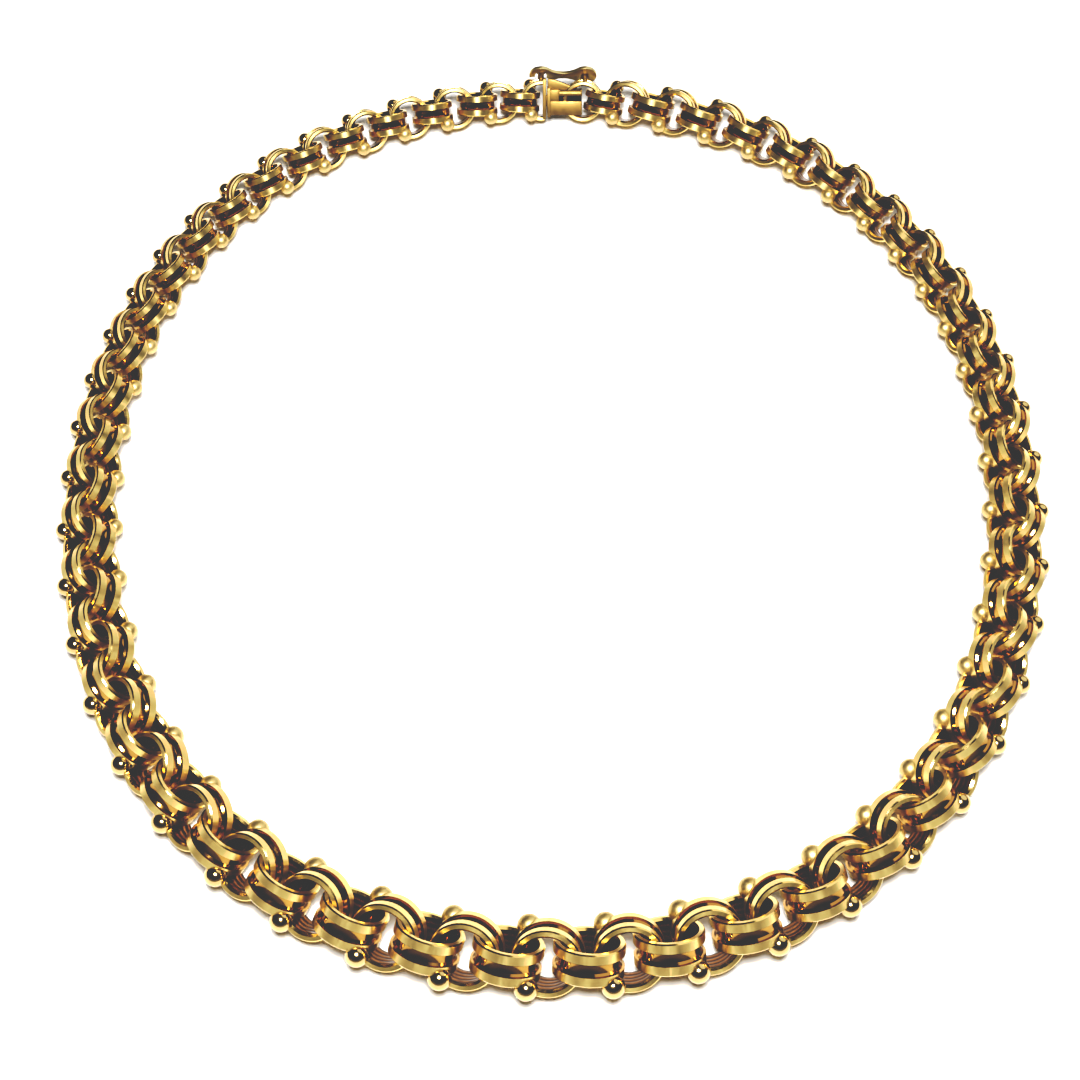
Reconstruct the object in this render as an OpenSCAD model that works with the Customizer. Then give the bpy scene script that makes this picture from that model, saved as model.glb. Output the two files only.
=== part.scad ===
// Graduated necklace chain of wide double rimmed rings with ball headed cross pins,
// closed by a box clasp with a safety catch and lying flat on a surface.
// Lengths are millimetres. Distances along the chain start at the middle of the clasp
// and run counter clockwise seen from above. The clasp is at the back, on the +Y side.

/* [Chain] */
// Spacing of the cross pins beside the clasp
back_pitch = 7.67; // [7.5:0.01:7.9]
// Spacing of the cross pins at the middle of the front
front_pitch = 11.03; // [10.4:0.01:11.4]
// How late the links start to grow on the way from the clasp to the front
taper_power = 4; // [3:0.5:5]
// How much wider the spacing is at the right end than at the left end
pitch_drift = 0.59; // [0.3:0.01:0.7]
// Length of chain between the last cross pins on the two sides of the clasp
clasp_span = 20.4; // [20:0.1:21]

/* [Loop] */
// Stretch of the loop towards the clasp and the front
loop_oval = 0.035; // [0:0.001:0.05]
// How much fuller the loop is at the front than at the back
loop_egg = -0.002; // [-0.01:0.001:0.01]
// How square the loop is
loop_square = -0.009; // [-0.015:0.001:0.01]

/* [Links] */
// Outer diameter of a ring, as a share of the pin spacing
ring_diameter = 0.885; // [0.87:0.005:0.89]
// Wall of a ring at its rims
ring_wall = 0.1; // [0.09:0.005:0.1]
// Width of a ring along its axis
ring_width = 0.455; // [0.42:0.005:0.46]
// Width of each of the two rims
rim_width = 0.14; // [0.12:0.005:0.17]
// Depth of the groove between the rims
groove_depth = 0.065; // [0.05:0.001:0.07]
// Bevel at the inner edges of the rims
inner_bevel = 0.035; // [0.03:0.001:0.04]
// Bevel at the outer edges of the rims
outer_bevel = 0.012; // [0.008:0.001:0.02]

/* [Cross pins] */
// Diameter of the balls
ball_diameter = 0.27; // [0.24:0.005:0.28]
// Distance between the centres of a pin's two balls
ball_spacing = 0.82; // [0.8:0.005:0.86]
// Diameter of the shaft between the balls
pin_thickness = 0.024; // [0.02:0.001:0.03]
// Free space kept between a ball and its seat in the rims
seat_gap = 0.12; // [0.11:0.01:0.15]

/* [Clasp] */
// Size of the rings beside the clasp, as a pin spacing
clasp_ring = 7.2; // [7:0.05:7.3]
// Length of the box
box_length = 5.15; // [4.8:0.05:5.2]
// Thickness of the box
box_thickness = 3.2; // [3:0.1:3.4]
// Height of the box across the chain
box_height = 4; // [3.8:0.1:4.2]
// Distance between the pivot and the snap of the safety catch
catch_reach = 7.1; // [7:0.1:7.3]
// Radius of the two ends of the safety catch
catch_radius = 1.9; // [1.7:0.1:2]

/* [Hidden] */
$fn = 32;
pin_count = 49;
units = pin_count - 1;
steps = 180;
clasp_pitch = clasp_span / 3;
// Brings the middle of the whole part to the middle of the frame
centre_x = -0.03;
centre_y = 0.72;

function share(j) = (j + 0.5) / units;
function growth(j) = pow(sin(180 * share(j)), taper_power);
function pitch(j) = back_pitch + (front_pitch - back_pitch) * growth(j) + pitch_drift * (share(j) - 0.5);

// Distances along the chain of the cross pins beyond the clasp section
pin_s = [for (j = 0, s = clasp_span / 2; j <= units; s = s + pitch(j), j = j + 1) s];
chain_length = pin_s[units] + clasp_span / 2;

// The loop as a closed curve of unit size, and the way along it at each angle
function reach(a) = 1 + loop_oval * cos(2 * a) + loop_egg * cos(3 * a) + loop_square * cos(4 * a);
function unit_at(a) = reach(a) * [-sin(a), cos(a)];
function stride(i) = norm(unit_at(360 * (i + 1) / steps) - unit_at(360 * i / steps));
way = [for (i = 0, s = 0; i <= steps; s = s + stride(i), i = i + 1) [s, 360 * i / steps]];
loop_scale = chain_length / way[steps][0];

function wrap(s) = s - chain_length * floor(s / chain_length);
function angle_at(s) = lookup(wrap(s) / loop_scale, way);
function at(s) = loop_scale * unit_at(angle_at(s)) + [centre_x, centre_y];
function ahead(s) = at(s + 0.5) - at(s - 0.5);
function heading(s) = atan2(ahead(s)[1], ahead(s)[0]);

// Height of a ring's centre when its lower rim touches the surface
function ring_height(u) = (ring_diameter / 2 + ring_width / 2 - outer_bevel) * u * sin(45);
clasp_height = ring_height(clasp_ring);

// Puts a piece on the chain: X runs along the chain, Y points to the inside, Z up
module place(s, h) {
    translate([at(s)[0], at(s)[1], h])
    rotate([0, 0, heading(s)])
    children();
}

// Half section of a ring: a web inside two wide rims with a deep groove between them
function ring_section(u) = let (
    ro = u * ring_diameter / 2,
    ri = ro - u * ring_wall,
    b = u * ring_width / 2,
    g = b - u * rim_width,
    d = ro - u * groove_depth,
    c = u * inner_bevel,
    e = u * outer_bevel
) [
    [ri, -b + c], [ri + c, -b], [ro - e, -b], [ro, -b + e], [ro, -g], [d, -g],
    [d, g], [ro, g], [ro, b - e], [ro - e, b], [ri + c, b], [ri, b - c]
];

// The rings lean by turns to the outside and to the inside, so neighbours stand square
module ring(s, u, lean) {
    place(s, ring_height(u))
    rotate([lean, 0, 0])
    rotate_extrude()
    polygon(ring_section(u));
}

// Pair of balls, used for the pins and, a little larger, for their seats in the rims
module balls(s, u, extra) {
    place(s, ring_height(u))
    for (side = [-1, 1])
        translate([0, side * u * ball_spacing / 2, 0])
        sphere(r = u * ball_diameter / 2 + extra);
}

module pin(s, u) {
    balls(s, u, 0);
    place(s, ring_height(u))
    rotate([90, 0, 0])
    cylinder(r = u * pin_thickness / 2, h = u * ball_spacing, center = true);
}

module seated_ring(s, u, lean, pin_at, pin_u) {
    difference() {
        ring(s, u, lean);
        balls(pin_at, pin_u, seat_gap);
    }
}

// Size of pin i, between the sizes of the rings on its two sides
function pin_size(i) = (ring_size(i - 1) + ring_size(i)) / 2;
function ring_size(j) = j < 0 || j >= units ? clasp_ring : pitch(j);

module chain_links() {
    color("goldenrod") {
        for (j = [0 : units - 1]) {
            seated_ring(pin_s[j] + pitch(j) / 4, pitch(j), 45, pin_s[j], pin_size(j));
            seated_ring(pin_s[j] + pitch(j) * 3 / 4, pitch(j), -45, pin_s[j + 1], pin_size(j + 1));
        }
        // Rings beside the clasp: two on its left, one on its right
        seated_ring(clasp_pitch * 3 / 4, clasp_ring, 45, clasp_pitch / 2, clasp_ring);
        seated_ring(clasp_pitch * 5 / 4, clasp_ring, -45, pin_s[0], pin_size(0));
        seated_ring(-clasp_pitch * 5 / 4, clasp_ring, 45, pin_s[units], pin_size(units));
    }
}

module cross_pins() {
    color("gold") {
        for (j = [0 : units])
            pin(pin_s[j], pin_size(j));
        pin(clasp_pitch / 2, clasp_ring);
    }
}

// Frame of the clasp, turned so that Y is across the box and Z up its sloping height
module clasp_frame() {
    place(0, clasp_height)
    rotate([45, 0, 0])
    children();
}

module block(x0, x1, y0, y1, z0, z1) {
    translate([x0, y0, z0])
    cube([x1 - x0, y1 - y0, z1 - z0]);
}

// Post with a flat head, standing out from the chain at distance x along the clasp
module post(x, head_radius) {
    place(0, catch_z)
    translate([x, 0, 0])
    rotate([90, 0, 0]) {
        translate([0, 0, post_foot])
        cylinder(r = post_radius, h = post_tip - post_foot);
        translate([0, 0, post_tip])
        cylinder(r = head_radius, h = post_head);
    }
}

// Box in the clasp frame: its mouth, its far end, and its lowest and highest faces
mouth = 0.25;
box_end = mouth - box_length;
box_low = -2.3;
box_top = box_low + box_height;
half = box_thickness / 2;
wall_extra = 0.3;

// Safety catch: its plate, and the two posts that it turns on and hooks over
catch_z = clasp_height + 1.45;
catch_near = 3.6;
catch_far = 4.2;
catch_bar = 1.2;
pivot_x = -5.4;
snap_x = pivot_x + catch_reach;
pivot_hole = 0.56;
hook_hole = 0.95;
post_radius = 0.5;
post_foot = 2.2;
post_tip = 4.35;
post_head = 0.4;

module clasp_box() {
    color("darkgoldenrod")
    difference() {
        union() {
            ring(-clasp_pitch * 3 / 4, clasp_ring, -45);
            post(pivot_x, 0.9);
            clasp_frame() {
                block(box_end, mouth, -half, half, box_low, box_top);
                // Thicker smooth wall below the groove
                block(box_end, mouth, 0, half + wall_extra, box_low, -0.05);
                // Flange around the mouth
                block(mouth - 0.1, mouth + 0.45, -half - 0.2, half + wall_extra, box_low - 0.3, 2);
                // Rounded bar above the groove
                translate([box_end + 0.3, half - 0.3, 1.2])
                rotate([0, 90, 0])
                cylinder(r = 0.55, h = 3.2);
                // Tapered arm on the top with a ball at its thin end
                rotate([90, 0, 0])
                translate([0, 0, -1])
                linear_extrude(1.2)
                polygon([[0.6, 1.5], [0.6, 3.4], [-0.4, 3.3], [-3.4, 2.2], [-3.4, 1.5]]);
                translate([-3.5, 0.4, 2.1])
                sphere(r = 0.6);
            }
        }
        clasp_frame() {
            // Hollow for the tongue
            block(-4, 1, -0.8, 0.8, -1.25, 0.95);
            // Groove along the near face
            block(-6, -1.2, half - 0.45, half + 1, -0.05, 0.6);
        }
        balls(-clasp_span / 2, pin_size(units), seat_gap);
    }
}

module clasp_tongue() {
    color("darkgoldenrod") {
        difference() {
            ring(clasp_pitch / 4, clasp_ring, -45);
            balls(clasp_pitch / 2, clasp_ring, seat_gap);
            clasp_frame()
            block(-6, 1.1, -4, 4, -5, 5);
        }
        post(snap_x, 0.75);
        clasp_frame() {
            block(0.85, 1.4, -1.3, 1.3, -3, 3.5);
            block(-3.6, 0.9, -0.55, 0.55, -1, 0.7);
        }
    }
}

module safety_catch() {
    color("peru")
    place(0, 0)
    rotate([90, 0, 0])
    translate([0, 0, catch_near])
    linear_extrude(catch_far - catch_near)
    difference() {
        union() {
            translate([pivot_x, catch_z])
            circle(r = catch_radius);
            translate([snap_x, catch_z])
            circle(r = catch_radius);
            translate([pivot_x, catch_z - catch_bar / 2])
            square([catch_reach, catch_bar]);
        }
        translate([pivot_x, catch_z])
        circle(r = pivot_hole);
        // Hook, open downwards so that it swings up off the stud
        translate([snap_x, catch_z]) {
            circle(r = hook_hole);
            polygon([[0, 0], [4, -0.8], [0, -6], [-4, -2.2]]);
        }
    }
}

chain_links();
cross_pins();
clasp_box();
clasp_tongue();
safety_catch();
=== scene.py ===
# %% [markdown]
# # A graduated gold chain necklace
# The necklace is a closed loop of wide rings. Each ring has two raised rims and a deep groove
# between them. The rings lean by turns to the outside and to the inside, so that neighbours
# stand square to each other, and a pin with a ball at each end goes through every second
# crossing. A box clasp with a safety catch closes the loop at the back.
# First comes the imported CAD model. It is the fixed frame, and every piece made here stays in it.
# Sizes are in millimetres, or shares of a ring's size, unless a comment says otherwise. Blender
# works in metres, so a length in millimetres is multiplied by MM where it goes in.

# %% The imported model
import math

import bmesh
import bpy
from mathutils import Matrix, Vector


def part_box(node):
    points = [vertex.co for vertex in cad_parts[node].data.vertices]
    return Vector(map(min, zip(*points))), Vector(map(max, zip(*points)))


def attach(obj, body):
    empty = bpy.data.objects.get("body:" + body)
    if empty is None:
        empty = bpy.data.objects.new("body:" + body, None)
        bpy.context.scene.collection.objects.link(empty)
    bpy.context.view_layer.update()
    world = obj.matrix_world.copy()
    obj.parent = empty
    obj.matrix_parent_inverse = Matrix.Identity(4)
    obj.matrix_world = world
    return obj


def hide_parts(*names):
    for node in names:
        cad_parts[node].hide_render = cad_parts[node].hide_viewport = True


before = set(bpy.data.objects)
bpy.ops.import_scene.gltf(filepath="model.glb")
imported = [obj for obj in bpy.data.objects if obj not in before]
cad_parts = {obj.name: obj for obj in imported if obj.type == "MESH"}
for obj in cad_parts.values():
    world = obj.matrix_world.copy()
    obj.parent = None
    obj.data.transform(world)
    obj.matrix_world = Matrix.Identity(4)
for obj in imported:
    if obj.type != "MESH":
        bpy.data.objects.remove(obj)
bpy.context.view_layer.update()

scene = bpy.context.scene
MM = 0.001

# %% [markdown]
# ## The camera
# The photo looks down on the necklace from the front at 61 degrees, from about 40 cm, through a
# long lens. The camera comes first, because every later choice is judged through it.

# %% The camera
VIEW_ELEVATION = math.radians(61)
VIEW_DISTANCE = 400 * MM
VIEW_CENTRE = Vector((-1.88, -5.58, 0)) * MM
SENSOR_WIDTH, LENS = 36, 90  # millimetres
NEAREST_SEEN = 10 * MM
back = Vector((0, -math.cos(VIEW_ELEVATION), math.sin(VIEW_ELEVATION)))
camera = bpy.data.objects.new("photo_camera", bpy.data.cameras.new("photo_camera"))
camera.location = VIEW_CENTRE + back * VIEW_DISTANCE
camera.rotation_euler = (math.pi / 2 - VIEW_ELEVATION, 0, 0)
camera.data.sensor_width = SENSOR_WIDTH
camera.data.lens = LENS
camera.data.clip_start = NEAREST_SEEN
scene.collection.objects.link(camera)
scene.camera = camera
print("camera at", [round(x, 4) for x in camera.location])

# %% [markdown]
# ## The path of the chain
# The loop is nearly a circle. A radius that swells and shrinks a little with the angle gives its
# oval. A table of the way travelled at each angle then tells where a point lies that is so many
# millimetres along the chain. Distances start at the middle of the clasp and run counter
# clockwise. The same sizes and formulas are in the CAD source, so the new rings land on the old.

# %% The path of the chain
BACK_PITCH, FRONT_PITCH = 7.67, 11.03  # spacing of the pins beside the clasp and at the front
TAPER_POWER = 4  # how late the rings start to grow on the way to the front
PITCH_DRIFT = 0.59  # how much wider the spacing is at the end of the chain than at its start
CLASP_SPAN, CLASP_RING = 20.4, 7.2
CLASP_PITCH = CLASP_SPAN / 3
UNITS, STEPS = 48, 180
LOOP_OVAL, LOOP_EGG, LOOP_SQUARE = 0.035, -0.002, -0.009
CENTRE = (-0.03, 0.72)
LOOK_AHEAD = 0.5


def share(j):
    """How far unit j lies along the chain, from 0 to 1."""
    return (j + 0.5) / UNITS


def ring_size(j):
    """Spacing of the cross pins either side of unit j, which is also the size of its rings."""
    if not 0 <= j < UNITS:
        return CLASP_RING
    growth = math.sin(math.pi * share(j)) ** TAPER_POWER
    return BACK_PITCH + (FRONT_PITCH - BACK_PITCH) * growth + PITCH_DRIFT * (share(j) - 0.5)


def pin_size(i):
    """Size of pin i, between the sizes of the rings on its two sides."""
    return (ring_size(i - 1) + ring_size(i)) / 2


def on_unit_loop(a):
    """Point at angle a of the loop, drawn at unit size."""
    reach = 1 + LOOP_OVAL * math.cos(2 * a) + LOOP_EGG * math.cos(3 * a)
    reach += LOOP_SQUARE * math.cos(4 * a)
    return Vector((-reach * math.sin(a), reach * math.cos(a)))


pin_s = [CLASP_SPAN / 2]
for j in range(UNITS):
    pin_s.append(pin_s[-1] + ring_size(j))
chain_length = pin_s[-1] + CLASP_SPAN / 2
way = [0.0]
for i in range(STEPS):
    step = on_unit_loop(2 * math.pi * (i + 1) / STEPS) - on_unit_loop(2 * math.pi * i / STEPS)
    way.append(way[-1] + step.length)
loop_scale = chain_length / way[-1]


def at(s):
    """Point of the loop at s millimetres from the middle of the clasp, in millimetres."""
    w = (s % chain_length) / loop_scale
    i = max(k for k in range(STEPS) if way[k] <= w)
    a = 2 * math.pi * (i + (w - way[i]) / (way[i + 1] - way[i])) / STEPS
    return on_unit_loop(a) * loop_scale + Vector(CENTRE)


def heading(s):
    """Direction in which the chain runs at s millimetres, as an angle from X."""
    ahead = at(s + LOOK_AHEAD) - at(s - LOOK_AHEAD)
    return math.atan2(ahead.y, ahead.x)


def chain_frame(s, height):
    """Placement on the chain: X runs along it, Y points to the inside and Z up."""
    x, y = at(s)
    return Matrix.Translation(Vector((x, y, height)) * MM) @ Matrix.Rotation(heading(s), 4, "Z")


first_gap, front_gap = ring_size(0), ring_size(UNITS // 2)
print(f"chain {chain_length:.1f} mm long, pins {first_gap:.2f} to {front_gap:.2f} mm apart")

# %% [markdown]
# ## One helper for every node tree
# Both the shapes and the finishes are node trees. One small function adds a node, sets its
# properties and fills or links its inputs, so that each step of a tree is one call.
# Colours are written as the sRGB hex values that a colour picker shows. Shaders work in linear
# light, so one function converts them.

# %% Node and colour helpers
def add(tree, kind, settings=None, inputs=None):
    """Adds a node. inputs maps a socket's name or number to a value or to an output socket."""
    node = tree.nodes.new(kind)
    for name, value in (settings or {}).items():
        setattr(node, name, value)
    for name, value in (inputs or {}).items():
        socket = node.inputs[name]
        if isinstance(value, bpy.types.NodeSocket):
            tree.links.new(value, socket)
        else:
            socket.default_value = value
    return node


def linear(hex_colour):
    """An sRGB hex colour as linear red, green, blue and alpha."""
    parts = [int(hex_colour[i:i + 2], 16) / 255 for i in (1, 3, 5)]
    return [p / 12.92 if p <= 0.04045 else ((p + 0.055) / 1.055) ** 2.4 for p in parts] + [1.0]


print("gold in linear light:", [round(x, 3) for x in linear("#E8C060")])

# %% [markdown]
# ## Satin gold for the rims
# The rims are 18 carat yellow gold, turned on a lathe and finished with a fine abrasive while
# they spun. The scratches run round the ring, a few hundredths of a millimetre apart, which is
# too fine to draw. They smear every reflection across the band, so the near side of a ring is
# one even mustard tone between crisp ends, while reflections side by side stay apart. That is an
# anisotropic gloss: wide along the ring's axis, narrow round it.
# Over it lie faint streaks across the band, from rubbing against the next ring. They are drawn
# a third of a millimetre wide, coarser than they are, so that they show.
# Each ring carries its own coordinates in millimetres and the direction round it as attributes,
# so the finish follows the ring however it leans.

# %% Satin gold
STREAKS_PER_MM, CLOUDS_PER_MM = 3, 0.5
ALONG_THE_AXIS = (1, 1, 0.15)  # squeezes the axis, so that marks grow long across the band
EVEN = (1, 1, 1)
RING_STEP = (7.3, 3.1, 5.7)  # millimetres between the patterns of one ring and the next


def new_material(name):
    """A material with an empty node tree, and that tree."""
    material = bpy.data.materials.new(name)
    material.use_nodes = True
    tree = material.node_tree
    tree.nodes.clear()
    return material, tree


def ring_coordinates(tree, stretch):
    """Coordinates on a ring, squeezed by stretch, with a different start for each ring."""
    place = add(tree, "ShaderNodeAttribute", {"attribute_name": "ring_place"})
    number = add(tree, "ShaderNodeAttribute", {"attribute_name": "ring_number"})
    start = add(tree, "ShaderNodeVectorMath", {"operation": "SCALE"}, {
        0: RING_STEP, "Scale": number.outputs["Fac"]})
    moved = add(tree, "ShaderNodeVectorMath", {"operation": "ADD"}, {
        0: place.outputs["Vector"], 1: start.outputs[0]})
    squeezed = add(tree, "ShaderNodeVectorMath", {"operation": "MULTIPLY"}, {
        0: moved.outputs[0], 1: stretch})
    return squeezed.outputs[0]


satin_gold, tree = new_material("satin_gold_18ct")
streaks = add(tree, "ShaderNodeTexNoise", inputs={
    "Vector": ring_coordinates(tree, ALONG_THE_AXIS), "Scale": STREAKS_PER_MM,
    "Detail": 3, "Roughness": 0.6})
clouds = add(tree, "ShaderNodeTexNoise", inputs={
    "Vector": ring_coordinates(tree, EVEN), "Scale": CLOUDS_PER_MM, "Detail": 2})
rub = add(tree, "ShaderNodeMapRange", inputs={
    0: streaks.outputs["Fac"], "From Min": 0.3, "From Max": 0.7, "To Min": 0.28, "To Max": 0.38})
tint = add(tree, "ShaderNodeMix", {"data_type": "RGBA"}, {
    0: clouds.outputs["Fac"], 6: linear("#E4C67C"), 7: linear("#ECD08C")})
relief = add(tree, "ShaderNodeBump", inputs={
    "Height": streaks.outputs["Fac"], "Strength": 0.2, "Distance": 0.012 * MM})
around = add(tree, "ShaderNodeAttribute", {"attribute_name": "ring_around"})
satin = add(tree, "ShaderNodeBsdfPrincipled", inputs={
    "Base Color": tint.outputs[2], "Metallic": 1.0, "Roughness": rub.outputs[0],
    "Normal": relief.outputs[0], "Tangent": around.outputs["Vector"],
    "Anisotropic": 0.7, "Anisotropic Rotation": 0.25})
add(tree, "ShaderNodeOutputMaterial", inputs={"Surface": satin.outputs[0]})
print("made", satin_gold.name)

# %% [markdown]
# ## Polished and brushed gold
# The bevels and grooves of the rings are polished. Polished gold is a mirror, and between so many
# rings it mostly shows other gold, deeper in colour with each bounce. The grooves are also given a
# darker gold, which is painted shade. Handling leaves a faint haze of fine marks, drawn half a
# millimetre large or more so that it shows. The outer balls are a little duller from wear, and
# darker in colour, which is painted shade. The inner ones are satin and paler, since they are pale
# in the photo where the outer ones are dark; their paler colour is a painted highlight. The box of
# the clasp and its catch have a brushed look, so that they read as even mustard planes and not as
# mirrors. The box's much darker colour is painted shade, and the catch's paler one a painted
# highlight. One function makes all of them from two colours, two glosses and the size of the
# marks.

# %% Polished gold
WEAR_PATCH = 2.5  # millimetres


def polished(name, colour, worn_colour, smooth, hazy, marks_per_mm):
    """Polished gold whose gloss and colour drift a little over the piece."""
    material, tree = new_material(name)
    where = add(tree, "ShaderNodeTexCoord")
    haze = add(tree, "ShaderNodeTexNoise", inputs={
        "Vector": where.outputs["Object"], "Scale": marks_per_mm / MM,
        "Detail": 4, "Roughness": 0.65})
    gloss = add(tree, "ShaderNodeMapRange", inputs={
        0: haze.outputs["Fac"], "From Min": 0.35, "From Max": 0.7,
        "To Min": smooth, "To Max": hazy})
    worn = add(tree, "ShaderNodeTexNoise", inputs={
        "Vector": where.outputs["Object"], "Scale": 1 / (WEAR_PATCH * MM), "Detail": 2})
    tone = add(tree, "ShaderNodeMix", {"data_type": "RGBA"}, {
        0: worn.outputs["Fac"], 6: linear(colour), 7: linear(worn_colour)})
    relief = add(tree, "ShaderNodeBump", inputs={
        "Height": haze.outputs["Fac"], "Strength": 0.12, "Distance": 0.01 * MM})
    shader = add(tree, "ShaderNodeBsdfPrincipled", inputs={
        "Base Color": tone.outputs[2], "Metallic": 1.0,
        "Roughness": gloss.outputs[0], "Normal": relief.outputs[0]})
    add(tree, "ShaderNodeOutputMaterial", inputs={"Surface": shader.outputs[0]})
    return material


polished_gold = polished("polished_gold_18ct", "#EED08A", "#E6C072", 0.1, 0.2, 2.0)
# The grooves' gold is darker than the polished gold: painted shade in the groove.
groove_gold = polished("groove_gold_painted_shade", "#BC9250", "#96703A", 0.08, 0.16, 2.0)
# The outer balls' gold is darker: painted shade.
ball_gold = polished("burnished_ball_gold_painted_shade", "#D4BA84", "#BC9E66", 0.1, 0.22, 2.0)
# The clasp's gold is much darker than the rings': painted shade.
clasp_gold = polished("brushed_clasp_gold_painted_shade", "#9E824A", "#745A34", 0.4, 0.55, 1.2)
# The inner balls' gold is paler: a painted highlight.
inner_ball_gold = polished("satin_ball_gold_painted_highlight", "#E0C890", "#C0A468", 0.38, 0.52, 1.2)
# The catch's gold is paler: a painted highlight.
catch_gold = polished("catch_gold_18ct_painted_highlight", "#DCCB98", "#C4AC72", 0.34, 0.46, 1.6)
smooth_golds = (polished_gold, groove_gold, ball_gold, inner_ball_gold, clasp_gold, catch_gold)
print("made", ", ".join(material.name for material in smooth_golds))

# %% [markdown]
# ## Painted shade in the bores
# The inside of the rings is painted nearly black, which is painted shade, and the boring tool
# has left fine ridges that run round. The ridges are a wave in the ring's own axis direction,
# drawn a millimetre apart, coarser than they are, so that they show. The wave lifts the surface,
# and where it rises in patches of a noise the colour turns to reddish gold: painted highlights on
# the ridge tops, over the painted shade.

# %% Bore gold
BORE_PATCHES_PER_MM = 1.1
RIDGE_SPACING, RIDGE_HEIGHT = 0.9817, 0.04  # millimetres
WAVE_AT_SCALE_ONE = 2 * math.pi / 20  # length of one wave of the texture at scale 1
# The bores' nearly black gold is painted shade.
bore_gold, tree = new_material("bore_gold_painted_shade_and_highlights")
bore_patches = add(tree, "ShaderNodeTexNoise", inputs={
    "Vector": ring_coordinates(tree, EVEN), "Scale": BORE_PATCHES_PER_MM,
    "Detail": 4, "Roughness": 0.6})
bore_patch_gloss = add(tree, "ShaderNodeMapRange", inputs={
    0: bore_patches.outputs["Fac"], "To Min": 0.1, "To Max": 0.2})
ridge_at = add(tree, "ShaderNodeAttribute", {"attribute_name": "ring_place"})
ridges = add(tree, "ShaderNodeTexWave", {"bands_direction": "Z"}, {
    "Vector": ridge_at.outputs["Vector"], "Scale": WAVE_AT_SCALE_ONE / RIDGE_SPACING,
    "Distortion": 1.5, "Detail": 2.0})
ridge_highlight_mask = add(tree, "ShaderNodeMath", {"operation": "MULTIPLY"}, {
    0: bore_patches.outputs["Fac"], 1: ridges.outputs["Fac"]})
# Nearly black where ridge wave times patch noise is low, reddish gold where it is high: painted
# shade with painted highlights.
painted_bore_shade_and_highlights = add(tree, "ShaderNodeMix", {"data_type": "RGBA"}, {
    0: ridge_highlight_mask.outputs[0], 6: linear("#28160C"), 7: linear("#C8863E")})
bore_ridge_relief = add(tree, "ShaderNodeBump", inputs={
    "Height": ridges.outputs["Fac"], "Strength": 0.8, "Distance": RIDGE_HEIGHT * MM})
dark = add(tree, "ShaderNodeBsdfPrincipled", inputs={
    "Base Color": painted_bore_shade_and_highlights.outputs[2], "Metallic": 1.0,
    "Roughness": bore_patch_gloss.outputs[0], "Normal": bore_ridge_relief.outputs[0]})
add(tree, "ShaderNodeOutputMaterial", inputs={"Surface": dark.outputs[0]})
print("made", bore_gold.name)

# %% [markdown]
# ## The ring as a node tree
# A jeweller turns such a ring on a lathe: one outline, swept round an axis. The tree does the
# same. Its inputs are shares of the ring's size. The points of half the outline follow from
# them, a mirrored copy gives the other half, and Curve to Mesh sweeps the outline round a
# circle. The ring is then put on every point of the plan with that point's turn and size.
# The groove is cut with a round tool. Its hollow gathers the dark ceiling on the near side of a
# ring and the pale floor on the far side, which a flat groove wouldn't do.
# Alternatives are an Array modifier on a curve, which can't grow the links towards the front,
# and one mesh for each ring in code, which is slower to change.

# %% The ring's node tree
RING_SIZES = {
    "Ring Diameter": 0.89, "Ring Wall": 0.1, "Ring Width": 0.43, "Rim Width": 0.13,
    "Groove Depth": 0.065, "Inner Bevel": 0.03, "Outer Bevel": 0.016,
}
# Two bends on each side of the groove's hollow, as shares of its half width and of its depth
STEEP_OUT, STEEP_DEEP = 0.92, 0.5
SLOPE_OUT, SLOPE_DEEP = 0.6, 0.9


def new_tree(name, sizes, counts, materials):
    """An empty tree with a geometry input and output and named inputs for its sizes."""
    tree = bpy.data.node_groups.new(name, "GeometryNodeTree")
    interface = tree.interface
    interface.new_socket("Geometry", in_out="INPUT", socket_type="NodeSocketGeometry")
    for names, kind in (
        (sizes, "NodeSocketFloat"), (counts, "NodeSocketInt"), (materials, "NodeSocketMaterial"),
    ):
        for socket_name in names:
            interface.new_socket(socket_name, in_out="INPUT", socket_type=kind)
    interface.new_socket("Geometry", in_out="OUTPUT", socket_type="NodeSocketGeometry")
    return tree, tree.nodes.new("NodeGroupInput").outputs


ring_tree, given = new_tree("double_rimmed_rings", RING_SIZES, ["Segments"], [
    "Rim Finish", "Edge Finish", "Groove Finish", "Bore Finish"])
size = {name: given[name] for name in RING_SIZES}
for name, operation, first, second in (
    ("outside", "MULTIPLY", "Ring Diameter", 0.5),
    ("bore", "SUBTRACT", "outside", "Ring Wall"),
    ("edge", "MULTIPLY", "Ring Width", 0.5),
    ("groove", "SUBTRACT", "edge", "Rim Width"),
    ("bore_shoulder", "SUBTRACT", "edge", "Inner Bevel"),
    ("face_inside", "ADD", "bore", "Inner Bevel"),
    ("face_outside", "SUBTRACT", "outside", "Outer Bevel"),
    ("rim_shoulder", "SUBTRACT", "edge", "Outer Bevel"),
    ("steep", "MULTIPLY", "groove", STEEP_OUT),
    ("slope", "MULTIPLY", "groove", SLOPE_OUT),
    ("steep_depth", "MULTIPLY", "Groove Depth", STEEP_DEEP),
    ("slope_depth", "MULTIPLY", "Groove Depth", SLOPE_DEEP),
    ("steep_radius", "SUBTRACT", "outside", "steep_depth"),
    ("slope_radius", "SUBTRACT", "outside", "slope_depth"),
    ("floor", "SUBTRACT", "outside", "Groove Depth"),
):
    size[name] = add(ring_tree, "ShaderNodeMath", {"operation": operation}, {
        0: size.get(first, first), 1: size.get(second, second)}).outputs[0]
print("the ring's tree takes", ", ".join(RING_SIZES))

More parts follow.
